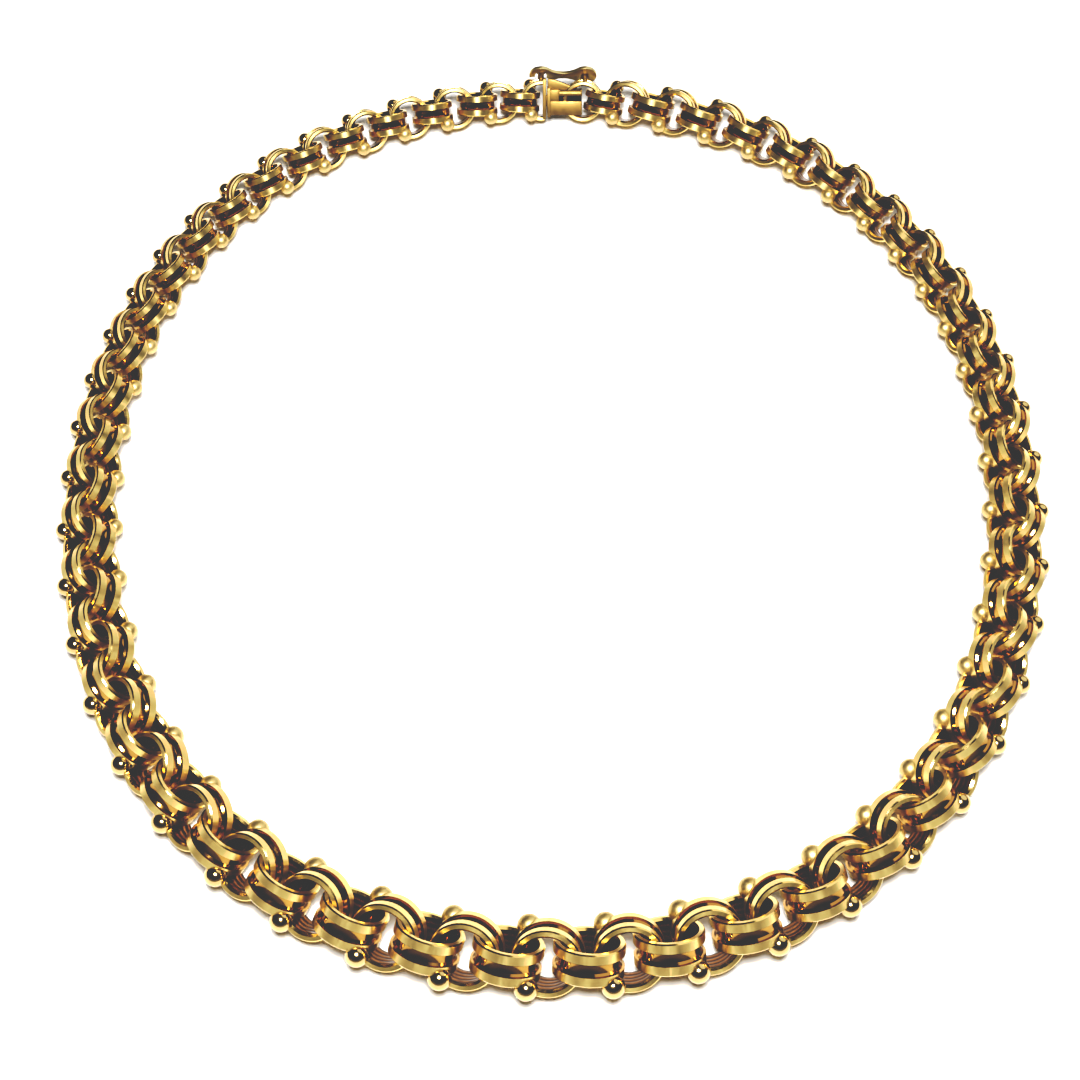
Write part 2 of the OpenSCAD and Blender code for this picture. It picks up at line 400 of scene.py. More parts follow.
# %% The ring's outline
SAME_POINT = 1e-5  # the two halves meet at points that lie closer than this
half_outline = [
    ("bore", 0.0), ("bore", "bore_shoulder"), ("face_inside", "edge"), ("face_outside", "edge"),
    ("outside", "rim_shoulder"), ("outside", "groove"), ("steep_radius", "steep"),
    ("slope_radius", "slope"), ("floor", 0.0),
]
index = add(ring_tree, "GeometryNodeInputIndex")
pick = add(ring_tree, "GeometryNodeIndexSwitch", {"data_type": "VECTOR"}, {
    "Index": index.outputs[0]})
while len(pick.index_switch_items) < len(half_outline):
    pick.index_switch_items.new()
for i, (out, along) in enumerate(half_outline):
    point = add(ring_tree, "ShaderNodeCombineXYZ", inputs={
        "X": size[out], "Y": size.get(along, along)})
    ring_tree.links.new(point.outputs[0], pick.inputs[i + 1])
line = add(ring_tree, "GeometryNodeMeshLine", inputs={"Count": len(half_outline)})
half = add(ring_tree, "GeometryNodeSetPosition", inputs={
    "Geometry": line.outputs[0], "Position": pick.outputs[0]})
mirrored = add(ring_tree, "GeometryNodeTransform", inputs={
    "Geometry": half.outputs[0], "Scale": (1, -1, 1)})
both = add(ring_tree, "GeometryNodeJoinGeometry", inputs={0: mirrored.outputs[0]})
ring_tree.links.new(half.outputs[0], both.inputs[0])
closed = add(ring_tree, "GeometryNodeMergeByDistance", inputs={
    "Geometry": both.outputs[0], "Distance": SAME_POINT})
outline = add(ring_tree, "GeometryNodeMeshToCurve", inputs={"Mesh": closed.outputs[0]})
print("the outline has", 2 * len(half_outline) - 2, "corners")

# %% [markdown]
# ## Sweeping and marking the ring
# The outline is drawn at the real distance from the ring's axis, and the sweep path is a circle
# at the ring's outside, so the outline first moves in by that radius. This outline runs the way
# that leaves the faces looking inwards, so they are flipped.
# Each point's place on the ring is then captured. Copies carry it along, and it tells which of
# four finishes a face gets: outside, groove, bore, or the edges between.

# %% The sweep
def keep_place(tree, piece):
    """Captures each point's place on the piece. Returns the piece and the captured place."""
    position = add(tree, "GeometryNodeInputPosition")
    keeper = add(tree, "GeometryNodeCaptureAttribute", inputs={"Geometry": piece})
    keeper.capture_items.new("VECTOR", "Place")
    tree.links.new(position.outputs[0], keeper.inputs["Place"])
    return keeper.outputs["Geometry"], keeper.outputs["Place"]


inward = add(ring_tree, "ShaderNodeMath", {"operation": "MULTIPLY"}, {0: size["outside"], 1: -1.0})
shift = add(ring_tree, "ShaderNodeCombineXYZ", inputs={"X": inward.outputs[0]})
outline_in = add(ring_tree, "GeometryNodeTransform", inputs={
    "Geometry": outline.outputs[0], "Translation": shift.outputs[0]})
path = add(ring_tree, "GeometryNodeCurvePrimitiveCircle", inputs={
    "Resolution": given["Segments"], "Radius": size["outside"]})
swept = add(ring_tree, "GeometryNodeCurveToMesh", inputs={
    "Curve": path.outputs[0], "Profile Curve": outline_in.outputs[0]})
flipped = add(ring_tree, "GeometryNodeFlipFaces", inputs={"Mesh": swept.outputs[0]})
ring_piece, ring_place = keep_place(ring_tree, flipped.outputs[0])
print("the ring's outline is swept")

# %% The ring's zones
# Shares of the ring's size by which the borders of a zone keep clear of the faces' middles
FACE_SLACK, RIM_SLACK, CORNER_SLACK = 0.003, 0.002, 0.004
GROOVE_STARTS = 0.01  # this deep below the rims
split = add(ring_tree, "ShaderNodeSeparateXYZ", inputs={0: ring_place})
flat = add(ring_tree, "ShaderNodeCombineXYZ", inputs={
    "X": split.outputs["X"], "Y": split.outputs["Y"]})
reach_out = add(ring_tree, "ShaderNodeVectorMath", {"operation": "LENGTH"}, {0: flat.outputs[0]})
reach_along = add(ring_tree, "ShaderNodeMath", {"operation": "ABSOLUTE"}, {0: split.outputs["Z"]})
from_axis, from_middle = reach_out.outputs["Value"], reach_along.outputs[0]
limit = {}
for name, operation, edge, slack in (
    ("face_level", "SUBTRACT", "edge", FACE_SLACK),
    ("below_rim", "SUBTRACT", "outside", GROOVE_STARTS),
    ("beside_groove", "ADD", "groove", CORNER_SLACK),
    ("above_bore", "ADD", "bore", CORNER_SLACK),
    ("bore_end", "SUBTRACT", "bore_shoulder", CORNER_SLACK),
    ("rim_end", "SUBTRACT", "rim_shoulder", RIM_SLACK),
):
    limit[name] = add(ring_tree, "ShaderNodeMath", {"operation": operation}, {
        0: size[edge], 1: slack}).outputs[0]
zone = {}
for name, tests in (
    ("rim", (
        ("GREATER_THAN", from_axis, "below_rim"), ("LESS_THAN", from_middle, "rim_end"))),
    ("face", (
        ("GREATER_THAN", from_axis, "above_bore"), ("GREATER_THAN", from_middle, "face_level"))),
    ("groove", (
        ("LESS_THAN", from_axis, "below_rim"), ("LESS_THAN", from_middle, "beside_groove"))),
    ("bore", (
        ("LESS_THAN", from_axis, "above_bore"), ("LESS_THAN", from_middle, "bore_end"))),
):
    both_hold = add(ring_tree, "FunctionNodeBooleanMath", {"operation": "AND"})
    for i, (test, value, border) in enumerate(tests):
        result = add(ring_tree, "FunctionNodeCompare", {"operation": test}, {
            0: value, 1: limit[border]})
        ring_tree.links.new(result.outputs[0], both_hold.inputs[i])
    zone[name] = both_hold.outputs[0]
print("zones of a ring:", ", ".join(zone), "and the edges between")

# %% [markdown]
# ## From a plan of points to one mesh
# The plan is a mesh of loose points, one for each ring, with its size, turn and number. The end
# of the tree puts the ring on the points, makes the copies real, because an export drops
# instances, and sets the finishes. The evaluated result is then kept as a plain mesh and the
# modifier goes.
# Each point of a ring also stores the direction that runs round the ring there: the ring's axis
# crossed with its own place, turned with the ring. The satin's gloss is stretched by it.

# %% Copies on the plan
CRISP_ANGLE = math.radians(32)
RING_AXIS = (0, 0, 1)
VECTOR_KIND = {"data_type": "FLOAT_VECTOR"}


def put_on_plan(tree, plan, piece, place, finishes):
    """Ends a tree: the piece on each point of the plan, turned and sized by its attributes.

    place is the captured place on the piece. finishes lists each material and its faces.
    """
    turn = add(tree, "GeometryNodeInputNamedAttribute", VECTOR_KIND, {"Name": "ring_turn"})
    rotation = add(tree, "FunctionNodeEulerToRotation", inputs={0: turn.outputs[0]})
    scale = add(tree, "GeometryNodeInputNamedAttribute", {"data_type": "FLOAT"}, {
        "Name": "ring_size"})
    copies = add(tree, "GeometryNodeInstanceOnPoints", inputs={
        "Points": plan, "Instance": piece,
        "Rotation": rotation.outputs[0], "Scale": scale.outputs[0]})
    result = add(tree, "GeometryNodeRealizeInstances", inputs={"Geometry": copies.outputs[0]})
    millimetres = add(tree, "ShaderNodeMath", {"operation": "DIVIDE"}, {
        0: scale.outputs[0], 1: MM})
    sized = add(tree, "ShaderNodeVectorMath", {"operation": "SCALE"}, {
        0: place, "Scale": millimetres.outputs[0]})
    across = add(tree, "ShaderNodeVectorMath", {"operation": "CROSS_PRODUCT"}, {
        0: RING_AXIS, 1: place})
    unit = add(tree, "ShaderNodeVectorMath", {"operation": "NORMALIZE"}, {0: across.outputs[0]})
    around = add(tree, "FunctionNodeRotateVector", inputs={
        "Vector": unit.outputs[0], "Rotation": rotation.outputs[0]})
    for name, value in (("ring_place", sized.outputs[0]), ("ring_around", around.outputs[0])):
        result = add(tree, "GeometryNodeStoreNamedAttribute", VECTOR_KIND, {
            "Geometry": result.outputs[0], "Name": name, "Value": value})
    result = add(tree, "GeometryNodeSetShadeSmooth", {"domain": "FACE"}, {
        "Geometry": result.outputs[0]})
    angle = add(tree, "GeometryNodeInputMeshEdgeAngle")
    corner = add(tree, "FunctionNodeCompare", {"operation": "GREATER_THAN"}, {
        0: angle.outputs[0], 1: CRISP_ANGLE})
    result = add(tree, "GeometryNodeSetShadeSmooth", {"domain": "EDGE"}, {
        "Geometry": result.outputs[0], "Selection": corner.outputs[0], "Shade Smooth": False})
    for material, faces in finishes:
        result = add(tree, "GeometryNodeSetMaterial", inputs={
            "Geometry": result.outputs[0], "Selection": faces, "Material": material})
    add(tree, "NodeGroupOutput", inputs={0: result.outputs[0]})


def grow(name, tree, points, values):
    """Runs a tree on points of (place, turn, size in mm) and keeps the result as a plain mesh."""
    plan = bpy.data.objects.new(name + "_plan", bpy.data.meshes.new(name + "_plan"))
    plan.data.from_pydata([place for place, _, _ in points], [], [])
    for label, kind, field, numbers in (
        ("ring_turn", "FLOAT_VECTOR", "vector", [x for _, turn, _ in points for x in turn]),
        ("ring_size", "FLOAT", "value", [u * MM for _, _, u in points]),
        ("ring_number", "FLOAT", "value", list(range(len(points)))),
    ):
        plan.data.attributes.new(label, kind, "POINT").data.foreach_set(field, numbers)
    scene.collection.objects.link(plan)
    build = plan.modifiers.new("build", "NODES")
    build.node_group = tree
    for item in tree.interface.items_tree:
        if item.in_out == "INPUT" and item.name in values:
            build[item.identifier] = values[item.name]
    depsgraph = bpy.context.evaluated_depsgraph_get()
    mesh = bpy.data.meshes.new_from_object(
        plan.evaluated_get(depsgraph), preserve_all_data_layers=True, depsgraph=depsgraph)
    made = bpy.data.objects.new(name, mesh)
    mesh.name = name
    scene.collection.objects.link(made)
    bpy.data.objects.remove(plan)
    return made


put_on_plan(ring_tree, given["Geometry"], ring_piece, ring_place, [
    (given["Edge Finish"], True), (given["Rim Finish"], zone["rim"]),
    (given["Rim Finish"], zone["face"]), (given["Groove Finish"], zone["groove"]),
    (given["Bore Finish"], zone["bore"])])
print(len(ring_tree.nodes), "nodes in the ring's tree")

# %% [markdown]
# ## The chain
# Each unit of the chain has a ring that leans out and a ring that leans in, a quarter and three
# quarters of the way between two pins. Three more rings sit beside the clasp. In the photo every
# ring has settled with a small turn about the upright, so that its rims run a little askew to
# the chain. The CAD rings stand square to keep clear of each other. Here they get that turn,
# except for the two that are soldered to the clasp. A slightly slimmer ring leaves room for it,
# so no ring cuts into the next one.

# %% The chain
LEAN = math.pi / 4
RING_REACH = 0.658  # share of the ring's size from its centre to its lowest edge, as in the CAD
SETTLED_TURN = math.radians(-8)
RING_SEGMENTS = 48


def ring_height(u):
    """Height of the centre of a ring of size u, so that its lower rim lies on the surface."""
    return RING_REACH * u * math.sin(LEAN)


def ring_point(s, u, lean, settled=0.0):
    """Place, turn and size of a ring or pin of size u at s millimetres along the chain."""
    upright = chain_frame(s, ring_height(u)) @ Matrix.Rotation(settled, 4, "Z")
    placement = upright @ Matrix.Rotation(lean, 4, "X")
    return placement.translation, placement.to_euler(), u


chain_plan = []
for j in range(UNITS):
    u = ring_size(j)
    chain_plan.append(ring_point(pin_s[j] + u / 4, u, LEAN, SETTLED_TURN))
    chain_plan.append(ring_point(pin_s[j] + u * 3 / 4, u, -LEAN, SETTLED_TURN))
for pitches, lean in ((0.75, LEAN), (1.25, -LEAN), (-1.25, LEAN)):  # beside the clasp
    chain_plan.append(ring_point(CLASP_PITCH * pitches, CLASP_RING, lean, SETTLED_TURN))
ring_finishes = {
    **RING_SIZES, "Segments": RING_SEGMENTS, "Rim Finish": satin_gold,
    "Edge Finish": polished_gold, "Groove Finish": groove_gold, "Bore Finish": bore_gold,
}
chain = grow("chain_of_rings", ring_tree, chain_plan, ring_finishes)
print(len(chain_plan), "rings,", len(chain.data.polygons), "faces")

# %% [markdown]
# ## The cross pins
# A pin is a thin shaft with a ball soldered on each end over a small collar. Spheres and
# cylinders are enough here. The same plan attributes place the pins, so the same ending of the
# tree serves them. The end of a pin that points into the loop has its own finish: satin, with a
# paler colour that is a painted highlight.

# %% The cross pins
PIN_SIZES = {
    "Ball Diameter": 0.3, "Ball Spacing": 0.82, "Collar Diameter": 0.22, "Shaft Diameter": 0.06,
}
COLLAR_LENGTH, COLLAR_IN = 0.05, -0.11  # the collar's middle lies this far in from the ball's
PIN_SEGMENTS, BALL_RINGS, SHAFT_SIDES = 20, 12, 10
pin_tree, given = new_tree("ball_headed_pins", PIN_SIZES, ["Segments"], ["Finish", "Inner Finish"])
half_size = {}
for name in PIN_SIZES:
    half_size[name] = add(pin_tree, "ShaderNodeMath", {"operation": "MULTIPLY"}, {
        0: given[name], 1: 0.5}).outputs[0]
ball = add(pin_tree, "GeometryNodeMeshUVSphere", inputs={
    "Segments": given["Segments"], "Rings": BALL_RINGS, "Radius": half_size["Ball Diameter"]})
collar = add(pin_tree, "GeometryNodeMeshCylinder", inputs={
    "Vertices": given["Segments"], "Radius": half_size["Collar Diameter"],
    "Depth": COLLAR_LENGTH})
collar_in = add(pin_tree, "GeometryNodeTransform", inputs={
    "Geometry": collar.outputs[0], "Translation": (0, 0, COLLAR_IN)})
head = add(pin_tree, "GeometryNodeJoinGeometry", inputs={0: ball.outputs[0]})
pin_tree.links.new(collar_in.outputs[0], head.inputs[0])
out = add(pin_tree, "ShaderNodeCombineXYZ", inputs={"Z": half_size["Ball Spacing"]})
head_out = add(pin_tree, "GeometryNodeTransform", inputs={
    "Geometry": head.outputs[0], "Translation": out.outputs[0]})
other_head = add(pin_tree, "GeometryNodeTransform", inputs={
    "Geometry": head_out.outputs[0], "Rotation": (math.pi, 0, 0)})
shaft = add(pin_tree, "GeometryNodeMeshCylinder", inputs={
    "Vertices": SHAFT_SIDES, "Radius": half_size["Shaft Diameter"],
    "Depth": given["Ball Spacing"]})
whole = add(pin_tree, "GeometryNodeJoinGeometry", inputs={0: head_out.outputs[0]})
pin_tree.links.new(other_head.outputs[0], whole.inputs[0])
pin_tree.links.new(shaft.outputs[0], whole.inputs[0])
lying = add(pin_tree, "GeometryNodeTransform", inputs={
    "Geometry": whole.outputs[0], "Rotation": (math.pi / 2, 0, 0)})
pin_piece, pin_place = keep_place(pin_tree, lying.outputs[0])
pin_split = add(pin_tree, "ShaderNodeSeparateXYZ", inputs={0: pin_place})
# The inner ends get the paler gold, a painted highlight.
inner_end = add(pin_tree, "FunctionNodeCompare", {"operation": "GREATER_THAN"}, {
    0: pin_split.outputs["Y"], 1: 0.0})
put_on_plan(pin_tree, given["Geometry"], pin_piece, pin_place, [
    (given["Finish"], True), (given["Inner Finish"], inner_end.outputs[0])])

pin_plan = [ring_point(pin_s[i], pin_size(i), 0) for i in range(UNITS + 1)]
pin_plan.append(ring_point(CLASP_PITCH / 2, CLASP_RING, 0))
pins = grow("ball_headed_pins", pin_tree, pin_plan, {
    **PIN_SIZES, "Segments": PIN_SEGMENTS, "Finish": ball_gold, "Inner Finish": inner_ball_gold})
print(len(pin_plan), "pins,", len(pins.data.polygons), "faces")

# %% [markdown]
# ## Making the clasp's parts
# The clasp is bench work: sheet, wire and a turned ring soldered together. Each part is a small
# closed mesh with bevelled edges, made where it stands. A part list is then joined to one piece,
# because solder makes them one.

# %% Part makers
BEVEL_ANGLE = math.radians(30)
BEVEL_STEPS, BEVEL_ROUNDNESS = 2, 0.6
ROD_SIDES, ROD_BEVEL = 24, 0.06
BALL_SIDES, BALL_RISE_STEPS = 24, 16


def bevelled(part, width):
    """Rounds every edge of a part that isn't nearly flat."""
    sharp = [e for e in part.edges if e.calc_face_angle(0) > BEVEL_ANGLE]
    bmesh.ops.bevel(
        part, geom=sharp, offset=width * MM, segments=BEVEL_STEPS, affect="EDGES",
        profile=BEVEL_ROUNDNESS)
    return part


def block(x0, x1, y0, y1, z0, z1, bevel):
    """A block between two values on each axis."""
    part = bmesh.new()
    bmesh.ops.create_cube(part, size=1)
    middle = Vector(((x0 + x1) / 2, (y0 + y1) / 2, (z0 + z1) / 2)) * MM
    edges = Vector((x1 - x0, y1 - y0, z1 - z0)) * MM
    part.transform(Matrix.Translation(middle) @ Matrix.Diagonal((*edges, 1)))
    return bevelled(part, bevel)


def rod(start, end, radius, sides=ROD_SIDES, bevel=ROD_BEVEL):
    """A round rod between two points."""
    part = bmesh.new()
    run = (Vector(end) - Vector(start)) * MM
    bmesh.ops.create_cone(
        part, cap_ends=True, segments=sides, radius1=radius * MM, radius2=radius * MM,
        depth=run.length)
    turn = run.to_track_quat("Z", "Y").to_matrix().to_4x4()
    part.transform(Matrix.Translation((Vector(start) + Vector(end)) / 2 * MM) @ turn)
    return bevelled(part, bevel)


def ball_part(centre, radius):
    """A ball round a point."""
    part = bmesh.new()
    bmesh.ops.create_uvsphere(
        part, u_segments=BALL_SIDES, v_segments=BALL_RISE_STEPS, radius=radius * MM)
    part.transform(Matrix.Translation(Vector(centre) * MM))
    return part


def sheet_part(outline, low, high, bevel):
    """A plate cut to an outline in X and Z, from Y low to high."""
    part = bmesh.new()
    face = part.faces.new([part.verts.new(Vector((x, low, z)) * MM) for x, z in outline])
    swept = bmesh.ops.extrude_face_region(part, geom=[face])
    raised = [v for v in swept["geom"] if isinstance(v, bmesh.types.BMVert)]
    bmesh.ops.translate(part, vec=Vector((0, high - low, 0)) * MM, verts=raised)
    bmesh.ops.recalc_face_normals(part, faces=part.faces)
    return bevelled(part, bevel)


def join_parts(name, parts, materials):
    """Joins (part, placement, finish number) triples to one object at the origin."""
    whole = bmesh.new()
    for part, placement, finish in parts:
        part.transform(placement)
        for face in part.faces:
            face.material_index = finish
            face.smooth = True
        loose = bpy.data.meshes.new("loose")
        part.to_mesh(loose)
        whole.from_mesh(loose)
        bpy.data.meshes.remove(loose)
        part.free()
    mesh = bpy.data.meshes.new(name)
    whole.to_mesh(mesh)
    whole.free()
    for material in materials:
        mesh.materials.append(material)
    mesh.set_sharp_from_angle(angle=CRISP_ANGLE)
    made = bpy.data.objects.new(name, mesh)
    scene.collection.objects.link(made)
    return made


print("part makers ready")

# %% [markdown]
# ## The box of the clasp
# The box leans like the ring that is soldered to it. Its near side has a thick smooth wall, a
# groove and a rounded bar. The core that shows in the groove gets the bores' nearly black gold,
# which is painted shade. A tapered arm with a small ball lies on top, and a flange
# stiffens the mouth. A post on the far side carries the safety catch. Blocks that overlap keep
# their faces a few hundredths of a millimetre apart, since faces in one plane would flicker.

# %% The clasp's box
BOX_END, MOUTH, BOX_LOW, BOX_HIGH, BOX_HALF = -4.9, 0.25, -2.3, 1.7, 1.6
GROOVE_FLOOR, WALL_FRONT, WALL_TOP = 1.15, 1.9, -0.05
PIVOT_X, SNAP_X, CATCH_RISE = -5.4, 1.7, 1.45
POST_FOOT, POST_TIP, POST_RADIUS = -2.2, -4.35, 0.5
HEAD_FOOT, HEAD_TIP = -4.3, -4.75
POLISHED, RECESS_PAINTED_SHADE, SETBACK = 0, 1, 0.04
clasp_height = ring_height(CLASP_RING)
clasp_lean = chain_frame(0, clasp_height) @ Matrix.Rotation(LEAN, 4, "X")
catch_place = chain_frame(0, clasp_height + CATCH_RISE)


def headed_post(x, head_radius, head_bevel):
    """A post on the far side of the clasp at x, with a round head that holds the catch."""
    shank = rod((x, POST_FOOT, 0), (x, POST_TIP, 0), POST_RADIUS)
    head = rod((x, HEAD_FOOT, 0), (x, HEAD_TIP, 0), head_radius, bevel=head_bevel)
    return [(shank, catch_place, POLISHED), (head, catch_place, POLISHED)]


# Each block reaches from and to a value on X, on Y and on Z. The last number is its bevel.
box_core = block(
    BOX_END + SETBACK, MOUTH, -BOX_HALF, GROOVE_FLOOR, BOX_LOW + SETBACK, BOX_HIGH - SETBACK, 0.15)
smooth_wall = block(BOX_END, MOUTH, 0.3, WALL_FRONT, BOX_LOW, WALL_TOP, 0.22)
mouth_block = block(-1.2, MOUTH, 0.3, BOX_HALF, -0.2, BOX_HIGH, 0.12)
lid = block(BOX_END, MOUTH, SETBACK - BOX_HALF, 1.2, 0.6, BOX_HIGH, 0.15)
flange = block(MOUTH - 0.1, MOUTH + 0.45, -1.8, WALL_FRONT, BOX_LOW - 0.3, 2.0, 0.1)
bar = rod((BOX_END + 0.2, 1.3, 1.2), (BOX_END + 3.6, 1.3, 1.2), 0.55, bevel=0.2)
arm = sheet_part([(0.6, 1.5), (0.6, 3.4), (-0.4, 3.3), (-3.4, 2.2), (-3.4, 1.5)], -0.2, 1.0, 0.2)
arm_ball = ball_part((-3.5, 0.4, 2.1), 0.62)
# The core shows in the groove and gets the nearly black bore gold: painted shade.
box_parts = [(box_core, clasp_lean, RECESS_PAINTED_SHADE)]
for part in (smooth_wall, mouth_block, lid, flange, bar, arm, arm_ball):
    box_parts.append((part, clasp_lean, POLISHED))
box_parts += headed_post(PIVOT_X, head_radius=0.9, head_bevel=0.18)
box_ring_point = ring_point(-CLASP_PITCH * 3 / 4, CLASP_RING, -LEAN)
box_ring = grow("box_ring", ring_tree, [box_ring_point], ring_finishes)
clasp_box = join_parts("clasp_box_shell", box_parts, [clasp_gold, bore_gold])
print("clasp box:", len(clasp_box.data.polygons), "faces")

# %% [markdown]
# ## The tongue
# The tongue's end plate closes the box's mouth. Half a ring is soldered on its outer side, so a
# whole ring is grown and cut off at the plate. The blade inside the box never shows, but it is
# there, and a stud on the far side is what the safety catch hooks over.

# %% The clasp's tongue
RING_CUT = 1.1


def cut_off(piece, placement, x):
    """Removes what lies below x along the clasp and closes the cut."""
    flesh = bmesh.new()
    flesh.from_mesh(piece.data)
    normal = placement.to_3x3() @ Vector((1, 0, 0))
    everything = flesh.verts[:] + flesh.edges[:] + flesh.faces[:]
    bmesh.ops.bisect_plane(
        flesh, geom=everything, plane_co=placement @ Vector((x * MM, 0, 0)), plane_no=normal,
        clear_inner=True)
    rim = [e for e in flesh.edges if e.is_boundary]
    bmesh.ops.holes_fill(flesh, edges=rim, sides=0)
    flesh.to_mesh(piece.data)
    flesh.free()


def solder(base, addition):
    """Joins an object into the base, with its finishes."""
    pieces = [base, addition]
    with bpy.context.temp_override(
        active_object=base, object=base, selected_editable_objects=pieces, selected_objects=pieces,
    ):
        bpy.ops.object.join()


tongue_ring_point = ring_point(CLASP_PITCH / 4, CLASP_RING, -LEAN)
tongue_ring = grow("tongue_ring", ring_tree, [tongue_ring_point], ring_finishes)
cut_off(tongue_ring, clasp_lean, RING_CUT)
end_plate = block(0.85, 1.4, -1.5, 1.6, -3.0, 3.4, 0.1)
blade = block(-3.6, 0.9, -0.55, 0.55, -1, 0.7, 0.08)
tongue_parts = [(end_plate, clasp_lean, POLISHED), (blade, clasp_lean, POLISHED)]
tongue_parts += headed_post(SNAP_X, head_radius=0.75, head_bevel=0.15)
clasp_tongue = join_parts("clasp_tongue_and_stud", tongue_parts, [clasp_gold, bore_gold])
solder(clasp_box, box_ring)
solder(clasp_tongue, tongue_ring)
print("box:", len(clasp_box.data.polygons), "tongue:", len(clasp_tongue.data.polygons), "faces")

# %% [markdown]
# ## The safety catch
# The catch is a figure of eight cut from sheet. Its two eyes flow into a narrow waist, so the
# outline is four arcs: two round the eyes and a hollow one above and below the waist. One eye
# turns on the post of the box. The other is open below, so that it swings up off the stud.

# %% The catch's sheet
EYE_RADIUS, WAIST, NEAR, FAR = 1.9, 0.6, -3.6, -4.2
EYE_STEPS, HOLLOW_STEPS = 40, 16
reach = (SNAP_X - PIVOT_X) / 2
hollow = (reach ** 2 + WAIST ** 2 - EYE_RADIUS ** 2) / (2 * (EYE_RADIUS - WAIST))
meet = math.atan2(WAIST + hollow, reach)


def arc(x, z, radius, start, end, steps):
    """Points of an arc, without its last one."""
    turns = [start + (end - start) * i / steps for i in range(steps)]
    return [(x + radius * math.cos(t), z + radius * math.sin(t)) for t in turns]


middle = (PIVOT_X + SNAP_X) / 2
eight = arc(SNAP_X, 0, EYE_RADIUS, -math.pi + meet, math.pi - meet, EYE_STEPS)
eight += arc(middle, WAIST + hollow, hollow, -meet, -math.pi + meet, HOLLOW_STEPS)
eight += arc(PIVOT_X, 0, EYE_RADIUS, meet, 2 * math.pi - meet, EYE_STEPS)
eight += arc(middle, -WAIST - hollow, hollow, math.pi - meet, meet, HOLLOW_STEPS)
eight_plate = sheet_part(eight, FAR, NEAR, 0)
catch = join_parts("safety_catch_plate", [(eight_plate, catch_place, 0)], [catch_gold])
print("the sheet's outline has", len(eight), "points")

# %% The catch's eyes and edges
PIVOT_HOLE, STUD_HOLE = 0.56, 0.95
SLOT = ((0, 0), (4, -0.8), (0, -6), (-4, -2.2))  # the hook's opening, from the stud
CUT_PAST = 1  # the cutters stand out this far on both sides of the sheet
CATCH_BEVEL, CATCH_BEVEL_STEPS, CATCH_BEVEL_ANGLE = 0.1 * MM, 2, math.radians(50)


def cutter(name, parts):
    """An object that is cut out of the catch."""
    return join_parts(name, [(part, catch_place, 0) for part in parts], [catch_gold])


near_end, far_end = NEAR + CUT_PAST, FAR - CUT_PAST
pivot_hole = rod((PIVOT_X, near_end, 0), (PIVOT_X, far_end, 0), PIVOT_HOLE, sides=28, bevel=0)
stud_hole = rod((SNAP_X, near_end, 0), (SNAP_X, far_end, 0), STUD_HOLE, sides=32, bevel=0)
slot_wedge = sheet_part([(SNAP_X + x, z) for x, z in SLOT], far_end, near_end, 0)
cutters = [cutter("catch_holes", [pivot_hole, stud_hole]), cutter("catch_slot", [slot_wedge])]
for tool in cutters:
    cut = catch.modifiers.new("cut", "BOOLEAN")
    cut.operation, cut.object, cut.solver = "DIFFERENCE", tool, "EXACT"
rounding = catch.modifiers.new("rounding", "BEVEL")
rounding.width, rounding.segments = CATCH_BEVEL, CATCH_BEVEL_STEPS
rounding.limit_method, rounding.angle_limit = "ANGLE", CATCH_BEVEL_ANGLE
depsgraph = bpy.context.evaluated_depsgraph_get()
cut_mesh = bpy.data.meshes.new_from_object(catch.evaluated_get(depsgraph), depsgraph=depsgraph)
catch.modifiers.clear()
catch.data = cut_mesh
catch.data.shade_smooth()
catch.data.set_sharp_from_angle(angle=CRISP_ANGLE)
for tool in cutters:
    bpy.data.objects.remove(tool)
print("safety catch:", len(catch.data.polygons), "faces")

# %% [markdown]
# ## The floor and the light
# The photo was taken on a white surface in a dark room, with one small lamp half a metre above
# the necklace and a pale window at the back right. Polished gold shows that room: the balls and
# grooves are nearly black with the lamp as one bright spot, the window warms their upper right,
# and what faces the floor mirrors its white. The floor is brighter than the picture can show, so
# its shadows stay only inside the rings. A faint band low in front stands for a pale wall there.
# The photo's darkest tones were lifted to charcoal and its middle tones deepened. A tone curve
# does the same. It keeps rising to its end, since a curve that flattens early folds highlights.

# %% The floor
FLOOR_HALF = 2  # metres
CARD_MOTTLE = 4.4444  # millimetres
floor = bpy.data.objects.new("floor", bpy.data.meshes.new("floor"))
corners = [(x * FLOOR_HALF, y * FLOOR_HALF, 0) for x, y in ((-1, -1), (1, -1), (1, 1), (-1, 1))]
floor.data.from_pydata(corners, [], [(0, 1, 2, 3)])
scene.collection.objects.link(floor)
paper, tree = new_material("white_card")
mottle = add(tree, "ShaderNodeTexNoise", inputs={
    "Scale": 2 * FLOOR_HALF / (CARD_MOTTLE * MM), "Detail": 2})
shade = add(tree, "ShaderNodeMix", {"data_type": "RGBA"}, {
    0: mottle.outputs["Fac"], 6: linear("#F4F3F0"), 7: linear("#FAF9F7")})
card = add(tree, "ShaderNodeBsdfPrincipled", inputs={
    "Base Color": shade.outputs[2], "Roughness": 0.8})
add(tree, "ShaderNodeOutputMaterial", inputs={"Surface": card.outputs[0]})
floor.data.materials.append(paper)
print("floor made")

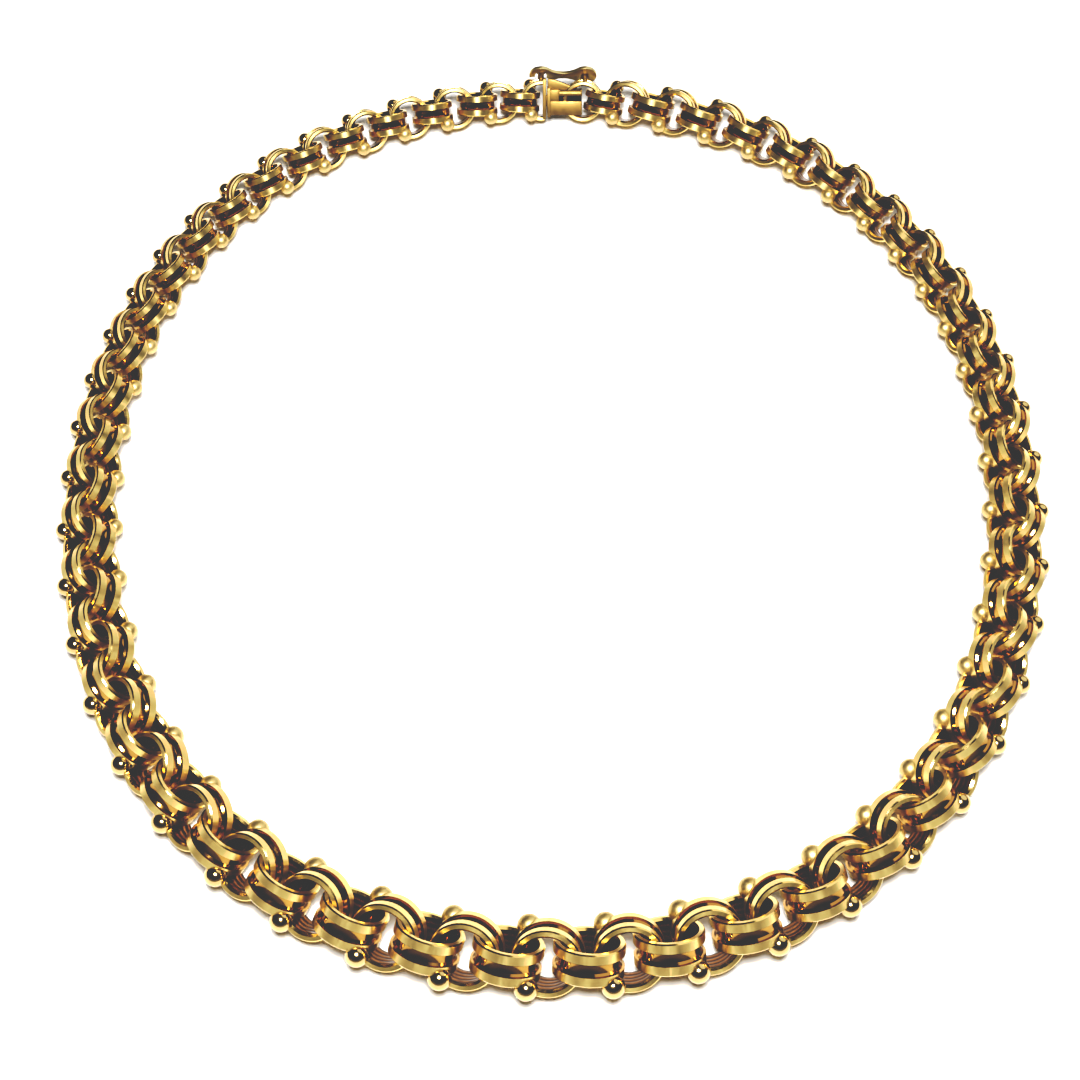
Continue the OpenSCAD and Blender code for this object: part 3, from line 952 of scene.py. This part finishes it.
# %% The room's own light
BAND_LIGHT, CEILING_LIGHT = 0.35, 0.02
BAND_FRONT, BAND_SIDE = -0.75, -0.1  # how far forward a direction points, full band to none
BAND_LOW, BAND_TOP = 0.15, 0.5  # how far up it points, full band to none
world = bpy.data.worlds.new("studio")
world.use_nodes = True
scene.world = world
tree = world.node_tree
tree.nodes.clear()
where = add(tree, "ShaderNodeTexCoord")
split = add(tree, "ShaderNodeSeparateXYZ", inputs={0: where.outputs["Generated"]})
facing = add(tree, "ShaderNodeMapRange", {"interpolation_type": "SMOOTHSTEP"}, {
    0: split.outputs["Y"], "From Min": BAND_FRONT, "From Max": BAND_SIDE,
    "To Min": BAND_LIGHT, "To Max": CEILING_LIGHT})
band = add(tree, "ShaderNodeMapRange", {"interpolation_type": "SMOOTHSTEP"}, {
    0: split.outputs["Z"], "From Min": BAND_LOW, "From Max": BAND_TOP,
    "To Min": facing.outputs[0], "To Max": CEILING_LIGHT})
sky = add(tree, "ShaderNodeBackground", inputs={
    "Color": linear("#FFFDF8"), "Strength": band.outputs[0]})
add(tree, "ShaderNodeOutputWorld", inputs={"Surface": sky.outputs[0]})
print("the room is", scene.world.name)

# %% The lamps
LAMPS = (  # name, place in metres, width in metres, watts
    ("near_lamp", (0.0, -0.15, 0.5), 0.15, 6),
    ("back_window", (0.75, 0.8, 0.85), 1.5, 8),
)
LAMP_AIM = Vector((0, 0, 0))
for name, place, width, watts in LAMPS:
    lamp = bpy.data.objects.new(name, bpy.data.lights.new(name, "AREA"))
    lamp.data.shape = "DISK"
    lamp.data.size = width
    lamp.data.energy = watts
    lamp.location = place
    lamp.rotation_euler = (LAMP_AIM - Vector(place)).to_track_quat("-Z", "Y").to_euler()
    scene.collection.objects.link(lamp)

# %% The tone curve
TONE_CURVE = ((0, 0.036), (0.08, 0.051), (0.25, 0.2), (0.6, 0.58), (0.87, 0.8), (1, 1))
ALL_COLOURS = 3  # the curve that works on red, green and blue together
scene.view_settings.view_transform = "Standard"
scene.view_settings.use_curve_mapping = True
contrast = scene.view_settings.curve_mapping
tone = contrast.curves[ALL_COLOURS]
tone.points[0].location = TONE_CURVE[0]
tone.points[-1].location = TONE_CURVE[-1]
for x, y in TONE_CURVE[1:-1]:
    tone.points.new(x, y)
contrast.update()
print("the tone curve has", len(tone.points), "points")

# %% [markdown]
# ## Fixing the pieces to the frame
# Each new piece stands for its CAD node and rides on that node's body. The catch turns, and the
# rest of the necklace stays still as one body.

# %% Pieces and bodies
for piece, node, body, material_slot in (
    (chain, "chain_links", "necklace", "link_gold"),
    (pins, "cross_pins", "necklace", "pin_gold"),
    (clasp_box, "clasp_box", "necklace", "clasp_gold"),
    (clasp_tongue, "clasp_tongue", "necklace", "clasp_gold"),
    (catch, "safety_catch", "catch", "catch_gold"),
):
    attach(piece, body)
    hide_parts(node)
    low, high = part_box(node)
    corners = [Vector(c) for c in piece.bound_box]
    off = [round((min(c[i] for c in corners) - low[i]) / MM, 2) for i in range(3)]
    off += [round((max(c[i] for c in corners) - high[i]) / MM, 2) for i in range(3)]
    print(piece.name, "differs from its CAD box by", off, "mm")
